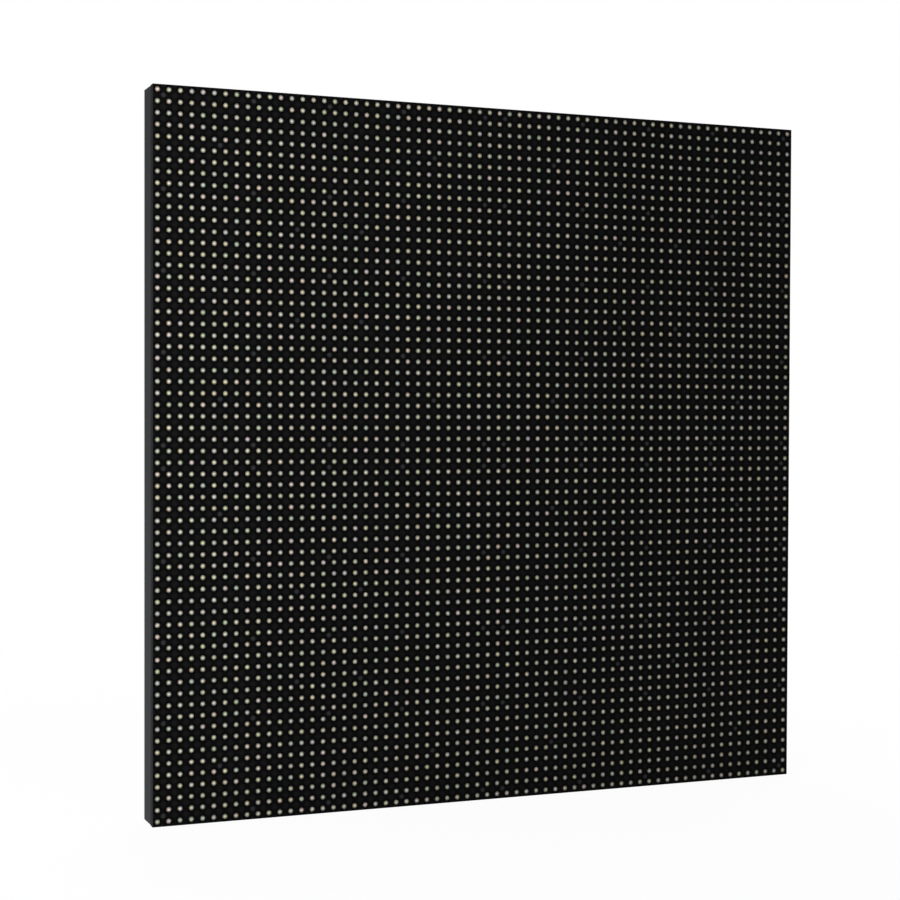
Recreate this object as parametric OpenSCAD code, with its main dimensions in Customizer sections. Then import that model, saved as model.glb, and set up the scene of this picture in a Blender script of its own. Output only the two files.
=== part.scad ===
// Lamp matrix panel for indoor display walls, seen from the front as a black square of round lights.
// A black front mask covers a board of small surface-mounted lamps, and a moulded rear frame carries
// the board and the threaded inserts that hold the panel to a cabinet.
// X runs across the front, Z runs up and the front faces -Y. The origin is the middle of the rear face.

/* [Lamp grid] */
// Distance from one lamp to the next
pitch = 4; // [3.8:0.1:4.4]
// Number of lamps across
columns = 64; // [64, 72, 80]
// Number of lamps up
rows = 64; // [64, 72, 80]
// Side of the square lamp
lamp_w = 2.1; // [1.9:0.1:2.1]

/* [Mask] */
// Side of the square window round each lamp
window_w = 2.4; // [2.3:0.1:2.5]
// Depth of the mask from its face to the board
mask_depth = 1.7; // [1.6:0.1:2.4]
// Thickness of the face bars that cross between the rows of lamps
bar_t = 0.5; // [0.4:0.1:0.6]
// Thickness of the rim outside the last lamps
rim_t = 0.5; // [0.4:0.1:0.8]

/* [Board] */
// Thickness of the circuit board
board_t = 1.6; // [1.2:0.2:2]

/* [Rear frame] */
// Depth of the whole panel
panel_depth = 13.5; // [13:0.5:18]
// Thickness of the outer wall
wall_t = 2; // [1.6:0.2:2.6]
// Thickness of the flat rear flange
flange_t = 2; // [1.6:0.2:3]
// Thickness of the cross ribs
rib_t = 2; // [1.6:0.2:2.4]

/* [Fixings] */
// Thread core of the mounting inserts
insert_bore_d = 2.5; // [2.5, 3.3]
// Distance from the side of the panel to the middle of an insert
insert_inset = 11.7; // [10:0.1:12]
// Depth of the mounting inserts
insert_l = 6; // [5:0.5:7]
// Thread of the screws that join the frame, board and mask
screw_d = 1.6; // [1.4:0.1:1.7]

/* [Hidden] */
$fn = 32;
past = 1;

// Outline of the window grid and of the panel
grid_w = (columns - 1) * pitch + window_w;
grid_h = (rows - 1) * pitch + window_w;
panel_w = grid_w + 2 * rim_t;
panel_h = grid_h + 2 * rim_t;

// Depths along Y, from the front face to the rear face
y_face = -panel_depth;
y_bars = y_face + bar_t;
layer_gap = 0.05;
y_ribs = y_bars + layer_gap;
y_board = y_face + mask_depth;
y_back = y_board + board_t;
chip_room = 2.5;
y_cross = y_back + chip_room;

// Fits between the pieces
board_gap = 0.1;
peg_gap = 0.15;
post_gap = 0.1;

// Pegs and posts stand on the lines between the lamps, mirrored about both middles
peg_d = 1.4;
post_d = 2.5;
peg_lines = [1, 9, 16, 23, 31];
outer_peg_cols = [13, 19];
outer_peg_rows = [12, 20];
post_cols = [6, 26];
post_rows = [5, 27];
function col_line(k) = round(k * columns / 64) * pitch - columns * pitch / 2;
function row_line(k) = round(k * rows / 64) * pitch - rows * pitch / 2;
post_x = -col_line(post_cols[0]);
mid_post_x = -col_line(post_cols[1]);
post_z = -row_line(post_rows[0]);
mid_post_z = -row_line(post_rows[1]);

// Rear frame
frame_inset = 0.1;
frame_w = panel_w - 2 * frame_inset;
frame_h = panel_h - 2 * frame_inset;
screw_boss_d = 6;
insert_boss_d = 8;
window_x = post_x - screw_boss_d;
window_z = post_z - screw_boss_d;
lip_t = 2;
insert_x = panel_w / 2 - insert_inset;
insert_z = panel_h / 2 - insert_inset;
insert_d = insert_bore_d + 2;
head_d = 3.2;
head_t = 1.1;
counterbore_d = head_d + 0.8;
screw_hole_d = screw_d + 0.3;
screw_reach = 2;

// Shallow panels sunk in the rear of the flange, between the bosses
relief_t = 0.6;
relief_r = 2.5;
relief_edge = 6;
relief_gap = 8;

// Connectors and chips on the back of the board
header_x = 21 * pitch;
header_l = 28;
header_w = 8.9;
header_h = 9;
header_cavity_l = 25.2;
header_cavity_w = 6.5;
header_floor = 2.5;
header_stand = 1.3;
header_lift = 0.6;
header_key = 4.5;
pin_w = 0.64;
pin_pitch = 2.54;
pin_top = 7.6;
foot_l = 1.3;
power_pitch = 3.96;
power_pin_w = 1.14;
power_l = 4 * power_pitch;
power_w = 8.5;
power_base = 3.3;
power_wall = 1.2;
power_h = 9.4;
power_pin_drop = 0.6;
chip_h = 1.6;
chip_lift = 0.1;
leg_l = 1.05;
leg_t = 0.25;
leg_margin = 0.3;
driver_l = 8.65;
driver_w = 3.9;
driver_z = 18 * pitch;
driver_x = [for (i = [0:11]) (i - 5.5) * 5 * pitch];
row_driver_l = 9.9;
row_driver_x = [11 * pitch, 14.25 * pitch];
middle_chip_z = 9.5;
buffer_l = 6.5;
buffer_w = 4.4;
buffer_x = 17.75 * pitch;
can_d = 8;
can_h = 6.6;
can_base_w = can_d + 0.3;
can_base_t = 1;
can_x = 16;
can_z = 12;
small_l = 1.6;
small_w = 0.8;
small_offset = 5;

module slab(w, h, y0, y1) {
    translate([-w / 2, y0, -h / 2])
        cube([w, y1 - y0, h]);
}

module ring(outer_w, outer_h, inner_w, inner_h, y0, y1) {
    difference() {
        slab(outer_w, outer_h, y0, y1);
        slab(inner_w, inner_h, y0 - past, y1 + past);
    }
}

module rod(x, z, d, y0, y1) {
    translate([x, y0, z])
        rotate([-90, 0, 0])
            cylinder(d = d, h = y1 - y0);
}

// Places its children at one spot in each quarter of the panel
module four_ways(x, z) {
    for (sx = [-1, 1], sz = [-1, 1])
        translate([sx * x, 0, sz * z])
            children();
}

module at_peg_spots() {
    for (kx = peg_lines, kz = peg_lines)
        four_ways(-col_line(kx), -row_line(kz)) children();
    for (kx = outer_peg_cols, kz = outer_peg_rows)
        four_ways(-col_line(kx), -row_line(kz)) children();
}

module at_post_spots() {
    for (kx = post_cols, kz = post_rows)
        four_ways(-col_line(kx), -row_line(kz)) children();
}

module at_insert_spots() {
    four_ways(insert_x, insert_z) children();
    for (sx = [-1, 1])
        translate([sx * insert_x, 0, 0]) children();
}

// The mask is one moulding. Row bars at its face and column ribs behind them cross to leave one
// square window for each lamp, and the two layers join at the rim.
module mask() {
    color("#141517")
    difference() {
        union() {
            difference() {
                slab(panel_w, panel_h, y_face, y_back);
                slab(grid_w, grid_h, y_bars, y_ribs);
                slab(grid_w, grid_h, y_board, y_back + past);
                row_slots();
                column_slots();
            }
            at_peg_spots()
                rod(0, 0, peg_d, y_ribs + bar_t, y_back - board_gap);
            at_post_spots()
                rod(0, 0, post_d, y_ribs, y_back);
        }
        at_post_spots()
            rod(0, 0, screw_d, y_back - screw_reach, y_back + past);
    }
}

module row_slots() {
    for (i = [0:rows - 1])
        translate([0, 0, (i - (rows - 1) / 2) * pitch])
            slab(grid_w, window_w, y_face - past, y_bars + layer_gap / 2);
}

module column_slots() {
    for (i = [0:columns - 1])
        translate([(i - (columns - 1) / 2) * pitch, 0, 0])
            slab(window_w, grid_h, y_bars + layer_gap / 2, y_board + past);
}

// Each column of lamps is one strip, and the mask's windows show it as separate square lamps
module lamp_columns() {
    color("#e9e4d2")
    difference() {
        for (i = [0:columns - 1])
            translate([(i - (columns - 1) / 2) * pitch, 0, 0])
                slab(lamp_w, (rows - 1) * pitch + lamp_w, y_ribs, y_board);
        at_post_spots()
            rod(0, 0, post_d + 2 * post_gap, y_ribs - past, y_board + past);
    }
}

module led_board() {
    color("#1c2a20")
    difference() {
        slab(grid_w - 2 * board_gap, grid_h - 2 * board_gap, y_board, y_back);
        at_peg_spots()
            rod(0, 0, peg_d + 2 * peg_gap, y_board - past, y_back + past);
        at_post_spots()
            rod(0, 0, post_d + 2 * post_gap, y_board - past, y_back + past);
    }
}

module cross_rib_upright(x) {
    translate([x, 0, 0])
        slab(rib_t, frame_h - 2 * wall_t + 2 * past, y_cross, 0);
}

module cross_rib_level(z) {
    translate([0, 0, z])
        slab(frame_w - 2 * wall_t + 2 * past, rib_t, y_cross, 0);
}

// The frame's wall meets the mask and the board, and its flange lies on the cabinet
module rear_frame() {
    color("#2c2e31")
    difference() {
        union() {
            ring(frame_w, frame_h, frame_w - 2 * wall_t, frame_h - 2 * wall_t, y_back, 0);
            ring(frame_w - wall_t, frame_h - wall_t, 2 * window_x, 2 * window_z, -flange_t, 0);
            ring(2 * (window_x + lip_t), 2 * (window_z + lip_t), 2 * window_x, 2 * window_z, y_cross, 0);
            for (side = [-1, 1]) {
                cross_rib_upright(side * mid_post_x);
                cross_rib_level(side * mid_post_z);
            }
            at_post_spots()
                rod(0, 0, screw_boss_d, y_back, 0);
            at_insert_spots()
                rod(0, 0, insert_boss_d, y_back, 0);
        }
        at_post_spots() {
            rod(0, 0, screw_hole_d, y_back - past, 0);
            rod(0, 0, counterbore_d, y_cross, past);
        }
        at_insert_spots()
            rod(0, 0, insert_d, -insert_l, past);
        flange_reliefs();
    }
}

// A sunk panel between two corners, with its own corners rounded
module relief(x0, x1, z0, z1) {
    w = x1 - x0;
    h = z1 - z0;
    translate([(x0 + x1) / 2, 0, (z0 + z1) / 2])
        union() {
            slab(w, h - 2 * relief_r, -relief_t, past);
            slab(w - 2 * relief_r, h, -relief_t, past);
            for (sx = [-1, 1], sz = [-1, 1])
                rod(sx * (w / 2 - relief_r), sz * (h / 2 - relief_r), 2 * relief_r, -relief_t, past);
        }
}

module flange_reliefs() {
    side_x0 = window_x + relief_edge;
    side_x1 = frame_w / 2 - relief_edge;
    top_z0 = window_z + relief_edge;
    top_z1 = frame_h / 2 - relief_edge;
    for (sx = [0, 1], sz = [0, 1])
        mirror([sx, 0, 0])
            mirror([0, 0, sz]) {
                relief(side_x0, side_x1, mid_post_z + relief_gap, post_z - relief_gap);
                relief(mid_post_x + relief_gap, post_x - 2 * relief_gap, top_z0, top_z1);
            }
    for (side = [-1, 1])
        translate([0, 0, side < 0 ? -top_z0 - top_z1 : 0])
            relief(relief_gap - mid_post_x, mid_post_x - relief_gap, top_z0, top_z1);
}

module threaded_inserts() {
    color("#b8924a")
    at_insert_spots()
        difference() {
            rod(0, 0, insert_d, -insert_l, 0);
            rod(0, 0, insert_bore_d, -insert_l - past, past);
        }
}

module frame_screws() {
    color("#a9acb0")
    at_post_spots()
        union() {
            rod(0, 0, head_d, y_cross, y_cross + head_t);
            rod(0, 0, screw_d, y_back - screw_reach, y_cross + head_t / 2);
        }
}

// Sixteen-way box header, open to the rear, with its key slot in the side that faces the middle
module box_header(side) {
    color("#17181a")
    translate([side * header_x, 0, 0])
        difference() {
            slab(header_w, header_l, y_back, y_back + header_h);
            slab(header_cavity_w, header_cavity_l, y_back + header_floor, y_back + header_h + past);
            translate([-side * header_w / 2, 0, 0])
                slab(header_w / 2, header_key, y_back + header_floor, y_back + header_h + past);
            header_pin_spots()
                slab(pin_w, pin_w, y_back - past, y_back + header_floor + past);
            slab(header_w + 2 * past, header_l - 2 * header_stand, y_back - past, y_back + header_lift);
        }
}

module header_pin_spots() {
    for (sx = [-1, 1], i = [0:7])
        translate([sx * pin_pitch / 2, 0, (i - 3.5) * pin_pitch])
            children();
}

module header_pins(side) {
    color("#c9a54a")
    translate([side * header_x, 0, 0])
        for (sx = [-1, 1], i = [0:7])
            translate([0, 0, (i - 3.5) * pin_pitch])
                union() {
                    translate([sx * pin_pitch / 2, 0, 0])
                        slab(pin_w, pin_w, y_back, y_back + pin_top);
                    translate([sx * (pin_pitch / 2 + header_w / 2 + foot_l) / 2, 0, 0])
                        slab(header_w / 2 + foot_l - pin_pitch / 2, pin_w, y_back, y_back + pin_w / 2);
                }
}

// Four-way power header with a latch wall along its upper side
module power_header() {
    color("#e6e3da")
    difference() {
        union() {
            slab(power_l, power_w, y_back, y_back + power_base);
            translate([0, 0, (power_w - power_wall) / 2])
                slab(power_l, power_wall, y_back, y_back + power_h);
        }
        power_pin_spots()
            slab(power_pin_w, power_pin_w, y_back - past, y_back + power_base + past);
    }
}

module power_pin_spots() {
    for (i = [0:3])
        translate([(i - 1.5) * power_pitch, 0, 0])
            children();
}

module power_pins() {
    color("#c3c6c9")
    power_pin_spots()
        slab(power_pin_w, power_pin_w, y_back, y_back + power_h - power_pin_drop);
}

// Chip package with a strip of legs along both long sides
module chip(l, w, leg_l, x, z) {
    translate([x, 0, z]) {
        slab(l, w, y_back + chip_lift, y_back + chip_h);
        slab(l - 2 * leg_margin, w + 2 * leg_l, y_back, y_back + leg_t);
    }
}

module column_driver(i) {
    z = (i < 12 ? 1 : -1) * driver_z;
    color("#1b1b1d")
        chip(driver_l, driver_w, leg_l, driver_x[i % 12], z);
}

module row_driver(i) {
    x = (i % 4 < 2 ? 1 : -1) * row_driver_x[i % 2];
    z = (i < 4 ? 1 : -1) * middle_chip_z;
    color("#1b1b1d")
        chip(row_driver_l, driver_w, leg_l, x, z);
}

module buffer_chip(i) {
    x = (i % 2 == 0 ? 1 : -1) * buffer_x;
    z = (i < 2 ? 1 : -1) * middle_chip_z;
    color("#1b1b1d")
        chip(buffer_l, buffer_w, leg_l, x, z);
}

// Aluminium can on a square base
module capacitor(i) {
    color("#b4b7ba")
    translate([(i % 2 == 0 ? 1 : -1) * can_x, 0, (i < 2 ? 1 : -1) * can_z])
        union() {
            slab(can_base_w, can_base_w, y_back, y_back + can_base_t);
            rod(0, 0, can_d, y_back + can_base_t / 2, y_back + can_h);
        }
}

module small_part(x, z) {
    translate([x, 0, z])
        slab(small_l, small_w, y_back, y_back + small_w);
}

module chip_capacitors() {
    color("#a58a63")
    for (sz = [-1, 1]) {
        for (x = driver_x)
            small_part(x, sz * (driver_z - small_offset));
        for (sx = [-1, 1], x = [row_driver_x[0], row_driver_x[1], buffer_x])
            small_part(sx * x, sz * (middle_chip_z + small_offset));
    }
}

mask();
lamp_columns();
led_board();
rear_frame();
threaded_inserts();
frame_screws();
box_header(-1);  // data_in_header
header_pins(-1);  // data_in_pins
box_header(1);  // data_out_header
header_pins(1);  // data_out_pins
power_header();
power_pins();
chip_capacitors();
for (i = [0:23])
    column_driver(i);
for (i = [0:7])
    row_driver(i);
for (i = [0:3])
    buffer_chip(i);
for (i = [0:3])
    capacitor(i);
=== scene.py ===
import math
from functools import partial
import bmesh
import bpy
from mathutils import Matrix, Vector


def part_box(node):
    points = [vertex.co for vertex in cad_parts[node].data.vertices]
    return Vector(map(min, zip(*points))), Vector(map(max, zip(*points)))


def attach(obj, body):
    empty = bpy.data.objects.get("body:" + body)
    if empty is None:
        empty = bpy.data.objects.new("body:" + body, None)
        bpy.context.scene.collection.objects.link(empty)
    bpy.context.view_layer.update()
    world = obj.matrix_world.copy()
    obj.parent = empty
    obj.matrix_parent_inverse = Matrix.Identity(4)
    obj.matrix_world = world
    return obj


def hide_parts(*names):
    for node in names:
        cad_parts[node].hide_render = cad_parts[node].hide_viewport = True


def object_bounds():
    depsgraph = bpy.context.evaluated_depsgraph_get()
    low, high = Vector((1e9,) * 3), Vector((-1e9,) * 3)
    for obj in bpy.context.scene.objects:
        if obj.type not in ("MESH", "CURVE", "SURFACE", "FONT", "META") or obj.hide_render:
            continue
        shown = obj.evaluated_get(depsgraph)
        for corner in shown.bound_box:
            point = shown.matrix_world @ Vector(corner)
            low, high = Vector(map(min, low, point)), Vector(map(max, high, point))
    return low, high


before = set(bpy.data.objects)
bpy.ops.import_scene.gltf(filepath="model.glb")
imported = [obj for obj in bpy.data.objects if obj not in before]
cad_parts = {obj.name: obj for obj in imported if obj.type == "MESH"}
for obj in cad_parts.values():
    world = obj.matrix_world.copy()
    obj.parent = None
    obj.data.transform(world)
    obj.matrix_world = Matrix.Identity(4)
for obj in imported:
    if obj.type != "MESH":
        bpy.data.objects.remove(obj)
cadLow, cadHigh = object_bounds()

# Shapes are drawn in millimetres and scaled to metres as their meshes are made
mm = 0.001
lampGrid = {"columns": 64, "rows": 64, "pitch": 4.0}
maskLow, maskHigh = [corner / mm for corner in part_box("mask")]
boardLow, boardHigh = [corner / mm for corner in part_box("led_board")]
faceY = maskLow.y          # front face of the mask
boardFrontY = boardLow.y
boardBackY = boardHigh.y
print("frame loaded, front face at", round(faceY, 2), "mm")


# Colours are written as sRGB hex and turned to linear here
def linear(hexColour):
    parts = [int(hexColour[i:i + 2], 16) / 255 for i in (1, 3, 5)]
    return [p / 12.92 if p <= 0.04045 else ((p + 0.055) / 1.055) ** 2.4 for p in parts] + [1.0]


# Fills inputs by name or number: a node or a socket is linked, and a value is set
def fillInputs(tree, node, inputs):
    for name, value in inputs.items():
        if isinstance(value, bpy.types.Node):
            value = value.outputs[0]
        if isinstance(value, bpy.types.NodeSocket):
            tree.links.new(value, node.inputs[name])
        else:
            node.inputs[name].default_value = value


# Adds a node with its settings, and with its inputs in order or in one dictionary
def addNode(tree, kind, *inputs, **settings):
    node = tree.nodes.new(kind)
    for name, value in settings.items():
        setattr(node, name, value)
    isNamed = inputs and isinstance(inputs[0], dict)
    fillInputs(tree, node, inputs[0] if isNamed else dict(enumerate(inputs)))
    return node


def newObject(name, content):
    item = bpy.data.objects.new(name, content)
    bpy.context.scene.collection.objects.link(item)
    return item


# Makes a mesh a finished piece of the panel
def addPiece(name, mesh, replaced=None, finishes=()):
    mesh.name = name
    for finish in finishes:
        mesh.materials.append(finish)
    piece = newObject(name, mesh)
    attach(piece, "root")
    if replaced:
        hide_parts(replaced)
    return piece


# Name of a piece, from the name of the CAD node that it replaces
def camelName(node):
    first, *others = node.split("_")
    return first + "".join(word.capitalize() for word in others)


def meshFrom(bm):
    mesh = bpy.data.meshes.new("mesh")
    bm.to_mesh(mesh)
    bm.free()
    return mesh


# Turns the faces of a closed shape outwards and scales it from millimetres
def shapeMesh(bm):
    bmesh.ops.recalc_face_normals(bm, faces=bm.faces)
    bmesh.ops.scale(bm, vec=(mm, mm, mm), verts=bm.verts)
    return meshFrom(bm)


# Joins rings of the same count with faces; a ring of one point closes as a fan
def bridgeRings(bm, rings):
    count = max(len(ring) for ring in rings)
    for a, b in zip(rings, rings[1:]):
        for i in range(count):
            j = (i + 1) % count
            loop = [a[i % len(a)], a[j % len(a)], b[j % len(b)], b[i % len(b)]]
            bm.faces.new(list(dict.fromkeys(loop)))


# Joins rings and closes both ends
def addShell(bm, rings):
    bridgeRings(bm, rings)
    bm.faces.new(rings[0])
    bm.faces.new(rings[-1])


# A ring of points round the Y axis, or round another middle
def roundRing(bm, radius, y, sides, middle=(0, 0), turn=0.0):
    angles = [2 * math.pi * (i + turn) / sides for i in range(sides)]
    return [bm.verts.new((middle[0] + radius * math.cos(a), y, middle[1] + radius * math.sin(a)))
            for a in angles]


def squareRing(bm, halfX, halfZ, y):
    return [bm.verts.new((sx * halfX, y, sz * halfZ)) for sx, sz in ((1, 1), (-1, 1), (-1, -1), (1, -1))]


# A ring from an outline of (x, z) points, drawn in to a share of its size
def outlineRing(bm, outline, y, share=1.0):
    return [bm.verts.new((x * share, y, z * share)) for x, z in outline]


# Fills the flat face between four corners and a round ring inside them
def fillRound(bm, corners, ring):
    quarter = len(ring) // 4
    for side in range(4):
        arc = [ring[(side * quarter + k) % len(ring)] for k in range(quarter + 1)]
        for a, b in zip(arc, arc[1:]):
            bm.faces.new((corners[side], b, a))
        bm.faces.new((corners[side], corners[(side + 1) % 4], arc[-1]))


def addBox(bm, low, high):
    outline = [(low[0], low[2]), (high[0], low[2]), (high[0], high[2]), (low[0], high[2])]
    addShell(bm, [outlineRing(bm, outline, y) for y in (low[1], high[1])])


# Joins meshes to another, with the slot that their faces take
def joinMeshes(mesh, others, slot=0):
    bm = bmesh.new()
    bm.from_mesh(mesh)
    for other in others:
        count = len(bm.faces)
        bm.from_mesh(other)
        bm.faces.ensure_lookup_table()
        for face in bm.faces[count:]:
            face.material_index = slot
    bm.to_mesh(mesh)
    bm.free()


# A copy of a mesh, turned about Y and set down on the back of the board
def movedMesh(mesh, x, z, turn=0):
    copy = mesh.copy()
    place = Matrix.Translation((x * mm, boardBackY * mm, z * mm))
    copy.transform(place @ Matrix.Rotation(turn, 4, "Y"))
    return copy


def mirroredSpots(xs, zs):
    return [(sx * x, sz * z) for x in xs for z in zs for sx in (-1, 1) for sz in (-1, 1)]


# Geometry Nodes: one tree for each way of repeating, with its sizes as named inputs
def startTree(name, inputs):
    tree = bpy.data.node_groups.new(name, "GeometryNodeTree")
    for kind, labels in {"Geometry": ["Geometry"], **inputs, "Material": ["Finish"]}.items():
        for label in labels:
            tree.interface.new_socket(label, in_out="INPUT", socket_type="NodeSocket" + kind)
    tree.interface.new_socket("Geometry", in_out="OUTPUT", socket_type="NodeSocketGeometry")
    return tree, tree.nodes.new("NodeGroupInput").outputs, partial(addNode, tree)


def endTree(tree, give, geometry):
    real = addNode(tree, "GeometryNodeRealizeInstances", geometry)
    done = addNode(tree, "GeometryNodeSetMaterial", {"Geometry": real, "Material": give["Finish"]})
    addNode(tree, "NodeGroupOutput", done)
    return tree


# A flat grid of points, one pitch apart
def pointGrid(give, add, across, up):
    gaps = [add("ShaderNodeMath", count, 1.0, operation="SUBTRACT") for count in (across, up)]
    spans = [add("ShaderNodeMath", gap, give["Pitch"], operation="MULTIPLY") for gap in gaps]
    return add("GeometryNodeMeshGrid", *spans, across, up)


# Stands a flat grid up to face the front, at a level along Y
def standUp(add, geometry, level):
    away = add("ShaderNodeCombineXYZ", {"Y": level})
    return add("GeometryNodeTransform", {
        "Geometry": geometry, "Rotation": (math.pi / 2, 0, 0), "Translation": away})


# Puts the part on every point
def placeParts(give, add, points):
    part = add("GeometryNodeObjectInfo", give["Part"], transform_space="ORIGINAL")
    return add("GeometryNodeInstanceOnPoints", {"Points": points, "Instance": part.outputs["Geometry"]})


# Grid faces are inset to windows, the windows are cut out and the sheet is given its thickness
def windowTree():
    tree, give, add = startTree("windowGrid", {"Int": ["Columns", "Rows"], "Float": [
        "Pitch", "Window", "Depth", "Half Width", "Half Height", "Face", "Merge"]})
    lines = [add("ShaderNodeMath", give[cells], 1.0, operation="ADD") for cells in ("Columns", "Rows")]
    grid = pointGrid(give, add, *lines)
    inset = add("GeometryNodeExtrudeMesh", {"Mesh": grid, "Offset Scale": 0.0, "Individual": True},
                mode="FACES")
    share = add("ShaderNodeMath", give["Window"], give["Pitch"], operation="DIVIDE")
    shrunk = add("GeometryNodeScaleElements", {
        "Geometry": inset, "Selection": inset.outputs["Top"], "Scale": share})
    holed = add("GeometryNodeDeleteGeometry", shrunk, inset.outputs["Top"], domain="FACE", mode="ALL")
    # Outer faces are trimmed to the outline of the moulding
    spot = add("GeometryNodeInputPosition")
    highCorner = add("ShaderNodeCombineXYZ", give["Half Width"], give["Half Height"])
    lowCorner = add("ShaderNodeVectorMath", {0: highCorner, "Scale": -1.0}, operation="SCALE")
    under = add("ShaderNodeVectorMath", spot, highCorner, operation="MINIMUM")
    within = add("ShaderNodeVectorMath", under, lowCorner, operation="MAXIMUM")
    trimmed = add("GeometryNodeSetPosition", {"Geometry": holed, "Position": within})
    rise = add("ShaderNodeCombineXYZ", {"Z": give["Depth"]})
    thick = add("GeometryNodeExtrudeMesh", {
        "Mesh": trimmed, "Offset": rise, "Offset Scale": 1.0, "Individual": False}, mode="FACES")
    back = add("GeometryNodeFlipFaces", trimmed)
    both = add("GeometryNodeJoinGeometry", thick)
    fillInputs(tree, both, {0: back})
    closed = add("GeometryNodeMergeByDistance", {"Geometry": both, "Distance": give["Merge"]})
    backY = add("ShaderNodeMath", give["Face"], give["Depth"], operation="ADD")
    return endTree(tree, give, standUp(add, closed, backY))


# Puts one part on every point of a mesh
def pointTree():
    tree, give, add = startTree("onePerPoint", {"Object": ["Part"]})
    return endTree(tree, give, placeParts(give, add, give["Geometry"]))


# Lays a grid of points in the plane of the front and puts one part on each
def lampTree():
    tree, give, add = startTree("lampLattice", {
        "Int": ["Columns", "Rows"], "Float": ["Pitch", "Level"], "Object": ["Part"]})
    stood = standUp(add, pointGrid(give, add, give["Columns"], give["Rows"]), give["Level"])
    return endTree(tree, give, placeParts(give, add, stood))


# Lays a row of parts along X and the same row facing the other way, and turns both about Y
def rowTree():
    tree, give, add = startTree("facingRows", {
        "Int": ["Count"], "Float": ["Pitch", "Turn"], "Object": ["Part"]})
    gaps = add("ShaderNodeMath", give["Count"], 1.0, operation="SUBTRACT")
    span = add("ShaderNodeMath", gaps, give["Pitch"], operation="MULTIPLY")
    back = add("ShaderNodeMath", span, -0.5, operation="MULTIPLY")
    first = add("ShaderNodeCombineXYZ", {"X": back})
    step = add("ShaderNodeCombineXYZ", {"X": give["Pitch"]})
    line = add("GeometryNodeMeshLine", {"Count": give["Count"], "Start Location": first, "Offset": step})
    row = placeParts(give, add, line)
    facing = add("GeometryNodeTransform", {"Geometry": row, "Rotation": (0, math.pi, 0)})
    both = add("GeometryNodeJoinGeometry", row)
    fillInputs(tree, both, {0: facing})
    angle = add("ShaderNodeCombineXYZ", {"Y": give["Turn"]})
    return endTree(tree, give, add("GeometryNodeTransform", {"Geometry": both, "Rotation": angle}))


windows, onePerPoint, lampLattice, facingRows = windowTree(), pointTree(), lampTree(), rowTree()


# Runs a tree, with a mesh for its part and points to stand on if it needs them, and returns a plain mesh
def treeMesh(tree, values, part=None, points=None):
    carrier = newObject("carrier", points or bpy.data.meshes.new("carrier"))
    source = newObject("part", part)
    modifier = carrier.modifiers.new("build", "NODES")
    modifier.node_group = tree
    for item in tree.interface.items_tree:
        if item.in_out == "INPUT" and item.name != "Geometry":
            modifier[item.identifier] = source if item.name == "Part" else values[item.name]
    graph = bpy.context.evaluated_depsgraph_get()
    result = bpy.data.meshes.new_from_object(carrier.evaluated_get(graph), depsgraph=graph)
    carrier.modifiers.remove(modifier)
    bpy.data.objects.remove(carrier)
    bpy.data.objects.remove(source)
    # The node primitives leave an empty slot in front of the finish
    result.materials.clear()
    result.materials.append(values["Finish"])
    result.polygons.foreach_set("material_index", [0] * len(result.polygons))
    return result


# One part on each (x, z) spot, at one level along Y, as one piece
def addScatter(name, part, spots, y, finish, replaced=None):
    points = bpy.data.meshes.new("points")
    points.from_pydata([(x * mm, y * mm, z * mm) for x, z in spots], [], [])
    addPiece(name, treeMesh(onePerPoint, {"Finish": finish}, part, points), replaced)


# A material, the way to add its nodes, the way to fill its shader in, and the place on the object
def startMaterial(name):
    material = bpy.data.materials.new(name)
    material.use_nodes = True
    tree = material.node_tree
    add = partial(addNode, tree)
    fill = partial(fillInputs, tree, tree.nodes["Principled BSDF"])
    return material, add, fill, add("ShaderNodeTexCoord").outputs["Object"]


# Moulded plastic and other matt things: fine grain in the bump and sheen, slow flow marks in the colour.
# The grain is drawn coarser than the real one, so that a close view shows it
plastic = {"detail": 2.0, "flowDetail": 3.0, "sheen": 0.06, "height": 0.05}


def mouldedPlastic(name, look, shade=None):
    material, add, fill, place = startMaterial(name)
    grain, flow = [add("ShaderNodeTexNoise", {
        "Vector": place, "Scale": 1 / (look[size] * mm), "Detail": plastic[detail]})
        for size, detail in (("grain", "detail"), ("mottle", "flowDetail"))]
    tone = add("ShaderNodeMix", {0: flow, 6: linear(look["colour"]), 7: linear(look["pale"])},
               data_type="RGBA")
    if shade:
        tone = shade(add, place, tone)
    matt = add("ShaderNodeMapRange", {
        "Value": grain, "To Min": look["roughness"] - plastic["sheen"],
        "To Max": look["roughness"] + plastic["sheen"]})
    bump = add("ShaderNodeBump", {
        "Height": grain, "Strength": look["depth"], "Distance": plastic["height"] * mm})
    fill({"Base Color": tone.outputs[2], "Roughness": matt, "Normal": bump, "IOR": look["ior"],
          "Specular IOR Level": look["gloss"]})
    return material


# Plated or drawn metal: fine marks break the shine up, so that it isn't a mirror
metal = {"detail": 3.0, "brighter": 0.08, "duller": 0.1, "depth": 0.15, "height": 0.02}


def platedMetal(name, look):
    material, add, fill, place = startMaterial(name)
    stretched = add("ShaderNodeVectorMath", place, look["stretch"], operation="MULTIPLY")
    marks = add("ShaderNodeTexNoise", {
        "Vector": stretched, "Scale": 1 / (look["grain"] * mm), "Detail": metal["detail"]})
    tone = add("ShaderNodeMix", {0: marks, 6: linear(look["colour"]), 7: linear(look["pale"])},
               data_type="RGBA")
    shine = add("ShaderNodeMapRange", {
        "Value": marks, "To Min": look["roughness"] - metal["brighter"],
        "To Max": look["roughness"] + metal["duller"]})
    bump = add("ShaderNodeBump", {
        "Height": marks, "Strength": metal["depth"], "Distance": metal["height"] * mm})
    fill({"Base Color": tone.outputs[2], "Roughness": shine, "Normal": bump, "Metallic": 1.0})
    return material


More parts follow.
